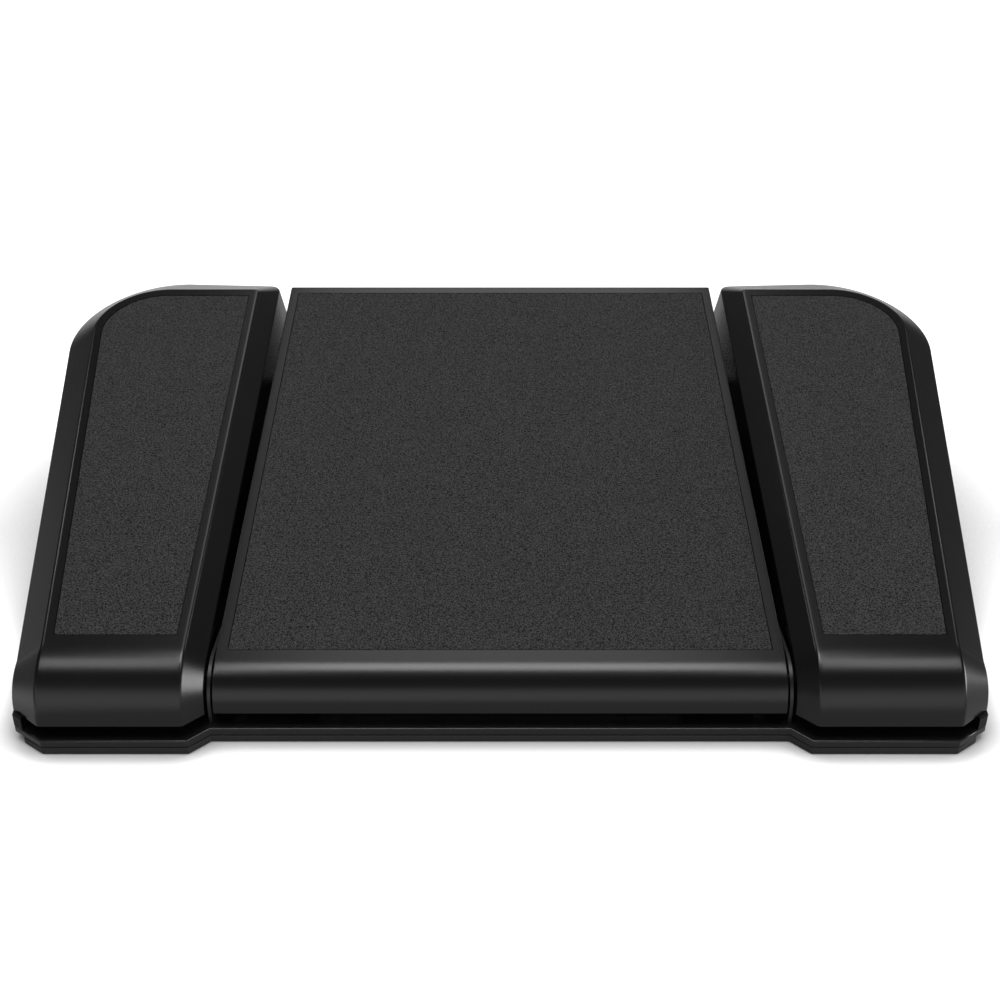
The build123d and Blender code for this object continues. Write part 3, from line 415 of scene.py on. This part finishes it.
def cut_away(piece, solids):
    """Takes closed solids out of a piece; each is the hull of its corner points in millimetres."""
    tool = bmesh.new()
    for corners in solids:
        made = [tool.verts.new([mm * number for number in corner]) for corner in corners]
        bmesh.ops.convex_hull(tool, input=made)
    bmesh.ops.recalc_face_normals(tool, faces=tool.faces)
    cutter_mesh = bpy.data.meshes.new("cutter")
    tool.to_mesh(cutter_mesh)
    tool.free()
    cutter = bpy.data.objects.new("cutter", cutter_mesh)
    bpy.context.scene.collection.objects.link(cutter)
    cut = piece.modifiers.new("cut", "BOOLEAN")
    cut.operation, cut.solver, cut.object = "DIFFERENCE", "EXACT", cutter
    piece.modifiers.move(len(piece.modifiers) - 1, 0)
    shaped = piece.evaluated_get(bpy.context.evaluated_depsgraph_get())
    piece.data = bpy.data.meshes.new_from_object(shaped)
    piece.modifiers.clear()
    bpy.data.objects.remove(cutter)


def block(x, y, z):
    """Corner points of a box from its ranges of x, y and z."""
    return [(a, b, c) for a in x for b in y for c in z]


def groove_blocks():
    """Straight grooves across the mat's underside, each as long as the mat's outline has room for."""
    loop = base_loop(mat_inset)
    edge = loop + inward(loop) * groove_margin
    edge = np.vstack([edge, edge[:1]])
    found = []
    for y in np.arange(-groove_count, groove_count + 1) * groove_pitch:
        sides = (y - groove_width / 2, y + groove_width / 2)
        ends = []
        for level in sides:
            above = edge[:, 1] > level
            crossing = np.flatnonzero(above[:-1] != above[1:])
            a, b = edge[crossing], edge[crossing + 1]
            ends.append(np.abs(a[:, 0] + (b[:, 0] - a[:, 0]) * (level - a[:, 1]) / (b[:, 1] - a[:, 1])))
        half = min(e.max() if len(e) else 0.0 for e in ends)
        if half:
            found.append(block((-half, half), sides, (below_mat, groove_depth)))
    return found


mat_rubber = plain_finish(
    "mat_rubber", colour=(0.014, 0.014, 0.015), roughness=0.62, grain=0.25, grain_scale=1400.0,
)
base_coat = plain_finish(
    "base_coat", colour=(0.008, 0.008, 0.0085), roughness=0.24, grain=0.06, grain_scale=2600.0,
)
for node, slot, inset, low, finish in (
    ("rubber_mat", "mat_rubber", mat_inset, 0.0, mat_rubber),
    ("base_plate", "base_steel", 0.0, layer, base_coat),
):
    wall = slab_grid(base_loop(inset), low, low + layer, edge_radius)
    piece = surface(f"{node}_skin", [wall], finish, fans=[wall[0, :-1], wall[-1, :-1]])
    if node == "rubber_mat":
        cut_away(piece, groove_blocks())
    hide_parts(node)
    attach(piece, "base")


# Chassis and what it carries. One dull black moulding screwed to the plate, the steel hinge plates
# and shaft, and the electronics; only slivers of them show in the gaps.
slot_finishes = {
    "chassis_plastic": dict(
        name="chassis_black", colour=(0.0035, 0.0035, 0.0037), roughness=0.55, grain=0.2,
        grain_scale=1800.0, specular=0.25,
    ),
    "hinge_plate_steel": dict(
        name="hinge_black", colour=(0.008, 0.008, 0.008), roughness=0.3, grain=0.05,
        grain_scale=2600.0,
    ),
    "hinge_steel": dict(
        name="ground_steel", colour=(0.5, 0.5, 0.51), roughness=0.28, grain=0.1,
        grain_scale=1500.0, metallic=1.0,
    ),
    "spring_steel": dict(
        name="spring_wire", colour=(0.42, 0.42, 0.43), roughness=0.32, grain=0.08,
        grain_scale=1500.0, metallic=1.0,
    ),
    "screw_steel": dict(
        name="zinc", colour=(0.4, 0.4, 0.42), roughness=0.4, grain=0.15,
        grain_scale=1800.0, metallic=1.0,
    ),
    "bumper_rubber": dict(
        name="bumper_rubber", colour=(0.03, 0.03, 0.03), roughness=0.75, grain=0.3,
        grain_scale=1500.0,
    ),
    "board_laminate": dict(
        name="solder_resist", colour=(0.012, 0.06, 0.03), roughness=0.35, grain=0.1,
        grain_scale=900.0,
    ),
    "switch_plastic": dict(
        name="switch_black", colour=(0.02, 0.02, 0.02), roughness=0.45, grain=0.1,
        grain_scale=1800.0,
    ),
    "plunger_plastic": dict(
        name="plunger_white", colour=(0.6, 0.58, 0.5), roughness=0.45, grain=0.1,
        grain_scale=1800.0,
    ),
    "bush_plastic": dict(
        name="bush_natural", colour=(0.7, 0.69, 0.64), roughness=0.5, grain=0.1,
        grain_scale=1800.0,
    ),
    "socket_metal": dict(
        name="plated", colour=(0.6, 0.6, 0.6), roughness=0.25, grain=0.05,
        grain_scale=1500.0, metallic=1.0,
    ),
    "chip_resin": dict(
        name="chip_resin", colour=(0.015, 0.015, 0.016), roughness=0.5, grain=0.2,
        grain_scale=2500.0,
    ),
    "frame_plastic": dict(
        name="frame_grey", colour=(0.03, 0.03, 0.032), roughness=0.6, grain=0.25,
        grain_scale=1500.0,
    ),
}
finishes = {slot: plain_finish(**values) for slot, values in slot_finishes.items()}
for part in frame["record"]["subparts"]:
    if part["material_slot"] in finishes:
        carried = frame["nodes"][part["node"]]
        carried.data.materials.clear()
        carried.data.materials.append(finishes[part["material_slot"]])


# Return springs. Each is one coil of hard steel wire, ground flat at both ends, that stands in a seat of
# the chassis.
coil_wire, coil_turns, turn_steps, wire_sides = 1.6, 7, 26, 12
# Where the shaft lies, and how far the pedals turn about it.
shaft_y, shaft_z, press = -80.3, 8.2, math.radians(3)
coils = {
    "left_spring": "left_pedal_hinge", "centre_spring_left": "centre_pedal_hinge",
    "centre_spring_right": "centre_pedal_hinge", "right_spring": "right_pedal_hinge",
}


def coil_grid(low, high):
    """Tube of round wire along a helix that climbs evenly; what passes a seat is ground flat onto it."""
    middle = (low + high) / 2
    arm = (high[0] - low[0] - coil_wire) / 2
    turn = np.linspace(0, 2 * math.pi * coil_turns, coil_turns * turn_steps + 1)[:, None]
    side = np.linspace(0, 2 * math.pi, wire_sides + 1)[None]
    out = arm + coil_wire / 2 * np.cos(side)
    climb = low[2] + (high[2] - low[2]) * turn / turn[-1]
    z = np.clip(climb + coil_wire / 2 * np.sin(side), low[2], high[2])
    return np.stack([middle[0] + out * np.cos(turn), middle[1] + out * np.sin(turn), z], -1)


for name, joint in coils.items():
    low, high = (np.array(corner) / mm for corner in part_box(name))
    grid = coil_grid(low, high)
    ends = [grid[0, :-1], grid[-1, :-1]]
    piece = surface(f"{name}_coil", [grid], finishes["spring_steel"], ends)
    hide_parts(name)
    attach(piece, "base")
    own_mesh(piece)


# Pedal shells. Each is one satin black moulding, 2.8 mm thick: a flat deck that slopes down to
# the heel and rolls over the hinge line, bevelled sides, and a toe face that slopes back to the floor.
slope, skirt_rise, toe_slope = math.radians(16.3), math.radians(3.3), math.radians(45)
roll_z = 6.6
shell_wall, side_wall, pocket_depth = 2.8, 2.4, 1.2
# The top edge lies round the deck, the rim below it where the bevels end, and the hem at the foot of
# the walls. Near is the side by the middle of the switch, and the left shell mirrors the right one.
pedals = {
    "centre": dict(
        roll=9.6, length=135.0, near=-59.5, far=59.5, near_spread=0.0, far_spread=0.0,
        near_corner=0.5, far_corner=0.5, near_drop=4.0, far_drop=4.0,
        rim_near=-59.5, rim_far=59.5, rim_near_spread=0.0, rim_far_spread=0.0, rim_length=137.19,
        rim_near_corner=0.5, rim_corner=0.5, rim_slant=0.0,
        hem_spread=0.0, hem_near_corner=0.5, hem_corner=0.5,
        border=2.3, toe_border=2.9, heel_border=2.0, edge=0.3,
    ),
    "right": dict(
        roll=14.0, length=127.5, near=64.95, far=94.4, near_spread=1.14, far_spread=7.54,
        near_corner=1.4, far_corner=17.2, near_drop=4.1, far_drop=5.8,
        rim_near=61.1, rim_far=101.2, rim_near_spread=0.65, rim_far_spread=8.2, rim_length=135.0,
        rim_near_corner=2.8, rim_corner=26.2, rim_slant=6.0,
        hem_spread=8.2, hem_near_corner=4.5, hem_corner=36.0,
        border=2.0, toe_border=3.0, heel_border=2.4, edge=0.5,
    ),
}
# Each pedal, the one whose sizes it has, and -1 where it mirrors them.
pedal_sides = (("centre", "centre", 1), ("right", "right", 1), ("left", "right", -1))
# Points along each stretch of an outline, round the roll and across it, and round small arcs.
line_steps, corner_steps, big_corner_steps, roll_steps, across_steps = 14, 5, 30, 26, 10
section_steps, arch_steps = 6, 13
# How far the walls' edges are cut back to round them, and the largest share of a wall that goes.
hollow_edge, hem_inner_edge, hem_edge, rim_edge = 0.5, 0.2, 0.3, 0.25
most_cut, least_length = 0.45, 1e-9
# The flat part of the deck starts this far inside its top edge. No corner gets a smaller radius.
deck_step, least_corner = 1.25, 0.05
# Half the slot for the shaft, the cheeks that it goes through, and the opening for the plug.
shaft_slot = 2.5
cheeks = {"centre": (56.0, 60.5), "right": (60.5, 64.0)}
plug_half, plug_start, plug_end, plug_top = 8.5, 73.0, 100.0, 21.02


def outline(near, far, near_spread, far_spread, start, end, near_corner, far_corner, inset=0.0, slant=0.0):
    """Open loop of (x, s): up the near edge, round both toe corners and back down the far edge.

    Edges are straight lines that spread by their angle in degrees; corners are circular arcs, and
    the toe line reaches slant further at its far end.
    """
    near_tan, far_tan = math.tan(math.radians(near_spread)), math.tan(math.radians(far_spread))
    near += inset / math.cos(math.radians(near_spread))
    far -= inset / math.cos(math.radians(far_spread))
    end -= inset
    near_corner, far_corner = (max(r - inset, least_corner) for r in (near_corner, far_corner))
    a, b = (near + near_tan * start, start), (near + near_tan * end, end)
    c, d = (far + far_tan * (end + slant), end + slant), (far + far_tan * start, start)
    first = corner_arc(a, b, c, near_corner, corner_steps)
    second = corner_arc(b, c, d, far_corner, big_corner_steps)
    up = np.linspace(a, first[0], line_steps)
    toe = np.linspace(first[-1], second[0], line_steps)
    down = np.linspace(second[-1], d, line_steps)
    return np.vstack([up, first[1:], toe[1:], second[1:], down[1:]])


def deck_outline(pedal, start, end, inset=0.0):
    """Outline of the flat deck between two distances up its slope, or a loop that far inside it."""
    return outline(
        pedal["near"], pedal["far"], pedal["near_spread"], pedal["far_spread"], start, end,
        pedal["near_corner"], pedal["far_corner"], inset,
    )


def on_deck(pedal, flat, depth):
    """Points (x, s) laid on the plane that slopes up from the roll, depth below the pedal's deck."""
    reach = pedal["roll"] - depth
    x, s = flat[:, 0], flat[:, 1]
    y = shaft_y - reach * math.sin(slope) + s * math.cos(slope)
    z = roll_z + reach * math.cos(slope) + s * math.sin(slope)
    return np.stack([x, y, z], 1)


def on_roll(x, radius, angles):
    """Points round the roll axis: angle 0 points up, 90 degrees towards the heel."""
    y = shaft_y - radius * np.sin(angles)
    z = roll_z + radius * np.cos(angles)
    return np.stack([np.broadcast_to(x, y.shape), y, z], 1)


def heel_to_heel(near_roll, middle, far_roll):
    """One line up over the roll on the near side, round the toe, and down over it on the far side."""
    return np.vstack([near_roll[:-1], middle, far_roll[::-1][1:]])


def toe_foot():
    """Distance behind the hinge, along the skirt, where the toe face meets the skirt's lower edge."""
    pedal = pedals["centre"]
    y = -pedal["roll"] * math.sin(slope) + pedal["length"] * math.cos(slope)
    z = pedal["roll"] * math.cos(slope) + pedal["length"] * math.sin(slope)
    run = (z - y * math.tan(skirt_rise)) / (math.tan(toe_slope) + math.tan(skirt_rise))
    return (y + run) / math.cos(skirt_rise)


def shell_rings(pedal, inset=0.0, lower=0.0):
    """The three edge lines of a shell, from the heel over the roll, round the toe and back.

    Returns hem, rim and top as (n x 3): each goes round the roll axis at its own radius, and then
    along its outline on the deck, below it, or on the skirt's lower edge. With inset and lower
    they are those of the hollow inside.
    """
    angles = np.linspace(math.pi / 2, slope, roll_steps)
    share = (angles - slope) / (math.pi / 2 - slope)
    tilt = (pedal["far_drop"] - pedal["near_drop"]) / (pedal["rim_far"] - pedal["rim_near"])
    rim_line = outline(
        pedal["rim_near"], pedal["rim_far"], pedal["rim_near_spread"], pedal["rim_far_spread"], 0.0,
        pedal["rim_length"], pedal["rim_near_corner"], pedal["rim_corner"], inset, pedal["rim_slant"],
    )
    hem_line = outline(
        pedal["rim_near"], pedal["rim_far"], pedal["rim_near_spread"], pedal["hem_spread"], 0.0,
        toe_foot(), pedal["hem_near_corner"], pedal["hem_corner"], inset,
    )
    rim_drop = pedal["near_drop"] + (rim_line[:, 0] - pedal["rim_near"]) * tilt + lower
    middles = {
        "hem": np.stack([
            hem_line[:, 0],
            shaft_y + hem_line[:, 1] * math.cos(skirt_rise),
            roll_z + hem_line[:, 1] * math.sin(skirt_rise),
        ], 1),
        "rim": on_deck(pedal, rim_line, rim_drop),
        "top": on_deck(pedal, deck_outline(pedal, 0.0, pedal["length"]), lower),
    }
    ends = {kind: [] for kind in middles}
    for edge, rim_x in (("near", pedal["rim_near"] + inset), ("far", pedal["rim_far"] - inset)):
        radius = pedal["roll"] - pedal[f"{edge}_drop"] - lower
        y = shaft_y - radius * np.sin(share * math.pi / 2)
        ends["hem"].append(np.stack([np.full_like(y, rim_x), y, np.full_like(y, roll_z)], 1))
        ends["rim"].append(on_roll(rim_x, radius, angles))
        ends["top"].append(on_roll(pedal[edge], pedal["roll"] - lower, angles))
    return [heel_to_heel(ends[kind][0], middle, ends[kind][1]) for kind, middle in middles.items()]


def inner_top(pedal, step, lower=0.0):
    """Line on the deck and roll that runs a step inside the top edge, beside the top ring."""
    angles = np.linspace(math.pi / 2, slope, roll_steps)
    line = deck_outline(pedal, 0.0, pedal["length"], step)
    near_roll, far_roll = (on_roll(line[end, 0], pedal["roll"] - lower, angles) for end in (0, -1))
    return heel_to_heel(near_roll, on_deck(pedal, line, lower), far_roll)


def rounded_section(lines, radii):
    """Carries a broken section along matching lines, each corner rounded by a quadratic curve.

    lines is k rings of (n x 3); corner i is cut back by radii[i] on both sides.
    """
    rows = [lines[0]]
    for i in range(1, len(lines) - 1):
        back, corner, ahead = lines[i - 1], lines[i], lines[i + 1]
        to_back, to_ahead = back - corner, ahead - corner
        reach_back = np.linalg.norm(to_back, axis=1, keepdims=True)
        reach_ahead = np.linalg.norm(to_ahead, axis=1, keepdims=True)
        start = corner + to_back * np.minimum(most_cut, radii[i] / np.maximum(reach_back, least_length))
        end = corner + to_ahead * np.minimum(most_cut, radii[i] / np.maximum(reach_ahead, least_length))
        for t in np.linspace(0, 1, section_steps):
            rows.append((1 - t) ** 2 * start + 2 * t * (1 - t) * corner + t * t * end)
    rows.append(lines[-1])
    return np.stack(rows)


def pocket_loop(pedal, inset):
    """Closed loop of (x, s) round the pad's pocket, with the points of the deck ring around it."""
    start = pedal["heel_border"] + inset
    end = pedal["length"] - pedal["toe_border"] + pedal["border"]
    line = deck_outline(pedal, start, end, pedal["border"] + inset)
    heel = np.linspace(line[-1], line[0], across_steps)
    return np.vstack([line, heel[1:]])


def shell_grids(pedal):
    """All surfaces of one shell: walls with rounded edges, roll, deck ring, pocket and inside.

    The walls go from the hollow's ceiling down inside the side, round the hem and up to the deck.
    Straight lines across join their two sides over the roll, both outside and inside.
    """
    hem, rim, top = shell_rings(pedal)
    hem_in, rim_in, top_under = shell_rings(pedal, side_wall, shell_wall)
    ceiling, deck_edge = inner_top(pedal, deck_step, shell_wall), inner_top(pedal, deck_step)
    walls = rounded_section(
        [ceiling, top_under, rim_in, hem_in, hem, rim, top, deck_edge],
        [0, hollow_edge, hollow_edge, hem_inner_edge, hem_edge, rim_edge, pedal["edge"], 0],
    )
    half = walls.shape[0] // 2
    across = np.linspace(0, 1, across_steps)[:, None, None]
    near_side, far_side = walls[:, :roll_steps], walls[:, ::-1][:, :roll_steps]
    roll_over, roll_under = (near_side[row] * (1 - across) + far_side[row] * across for row in (-1, 0))
    outer = np.vstack([walls[half:, 0], roll_over[1:-1, 0], walls[half:, -1][::-1]])
    inner = np.vstack([walls[:half, 0][::-1], roll_under[1:-1, 0], walls[:half, -1]])
    past_roll = slice(roll_steps - 1, len(hem) - roll_steps + 1)
    ring = np.vstack([walls[-1][past_roll], roll_over[:, roll_steps - 1][::-1][1:]])
    pocket = pocket_loop(pedal, 0.0)
    brim, low = on_deck(pedal, pocket, 0.0), on_deck(pedal, pocket, pocket_depth)
    under = np.vstack([walls[0][past_roll], roll_under[:, roll_steps - 1][::-1][1:-1]])
    grids = [walls, roll_over, roll_under, np.stack([outer, inner]), np.stack([ring, brim])]
    return grids + [np.stack([brim, low])], [low[:-1], under]


def shaft_notch(near, far):
    """Round-topped slot through a cheek, open below, from one distance off the middle to another."""
    turn = np.linspace(0, math.pi, arch_steps)
    arch = [(shaft_slot * math.cos(a), shaft_z + shaft_slot * math.sin(a)) for a in turn]
    foot = [(shaft_slot, 0.0), (-shaft_slot, 0.0)]
    return [(x, shaft_y + y, z) for y, z in arch + foot for x in (near, far)]


shell_black = plain_finish(
    "satin_plastic", colour=(0.0042, 0.0042, 0.0044), roughness=0.24, grain=0.05, grain_scale=3200.0,
    mottle=0.08,
)
for side, form, sign in pedal_sides:
    grids, fans = shell_grids(pedals[form])
    flip = np.array([sign, 1, 1])
    grids, fans = [grid * flip for grid in grids], [fan * flip for fan in fans]
    piece = surface(f"{side}_shell_skin", grids, shell_black, fans)
    near, far = cheeks[form]
    openings = [shaft_notch(sign * near, sign * far)]
    if side == "centre":
        openings.append(shaft_notch(-near, -far))
        openings.append(block((-plug_half, plug_half), (plug_start, plug_end), (0.0, plug_top)))
    cut_away(piece, openings)
    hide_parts(f"{side}_shell")
    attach(piece, f"{side}_pedal")


# Grip pads. A 1.2 mm sheet of hard, fine-grained rubber glued into each shell's pocket, flush with
# the deck, with its upper edge broken.
pad_gap, pad_edge = 0.15, 0.12
pad_grain = dict(Scale=3400.0, Detail=1.0, Roughness=0.6)
pad_bump = 0.6
speckle_start, speckle_end, speckle_dark, speckle_light = 0.38, 0.62, 0.010, 0.066


def grip_rubber():
    """Black rubber with a dense fine grain: the grain lifts the surface and speckles its colour."""
    material = plain_finish("grip_rubber", colour=(0.03, 0.03, 0.031), roughness=0.85, specular=0.08)
    tree = material.node_tree
    shader, place = tree.nodes["Principled BSDF"], tree.nodes["Texture Coordinate"]
    grain = add_node(tree, "ShaderNodeTexNoise", **pad_grain)
    tree.links.new(place.outputs["Object"], grain.inputs["Vector"])
    height = grain.outputs["Fac"]
    bump = add_node(tree, "ShaderNodeBump", Strength=pad_bump, Distance=grain_height)
    tree.links.new(height, bump.inputs["Height"])
    tree.links.new(bump.outputs[0], shader.inputs["Normal"])
    speckle = fade(tree, height, speckle_start, speckle_end, speckle_dark, speckle_light)
    tree.links.new(speckle, shader.inputs["Base Color"])
    return material


def pad_grid(pedal):
    """Wall of one pad: its loop carried up from the pocket's floor and in round a quarter circle."""
    rows = [on_deck(pedal, pocket_loop(pedal, pad_gap), pocket_depth)]
    for angle in np.linspace(0, math.pi / 2, arc_steps):
        inset = pad_gap + pad_edge * (1 - math.cos(angle))
        rows.append(on_deck(pedal, pocket_loop(pedal, inset), pad_edge * (1 - math.sin(angle))))
    return np.stack(rows)


pad_black = grip_rubber()
for side, form, sign in pedal_sides:
    wall = pad_grid(pedals[form]) * np.array([sign, 1, 1])
    piece = surface(f"{side}_pad_skin", [wall], pad_black, [wall[0, :-1], wall[-1, :-1]])
    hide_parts(f"{side}_pad")
    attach(piece, f"{side}_pedal")


low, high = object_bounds()
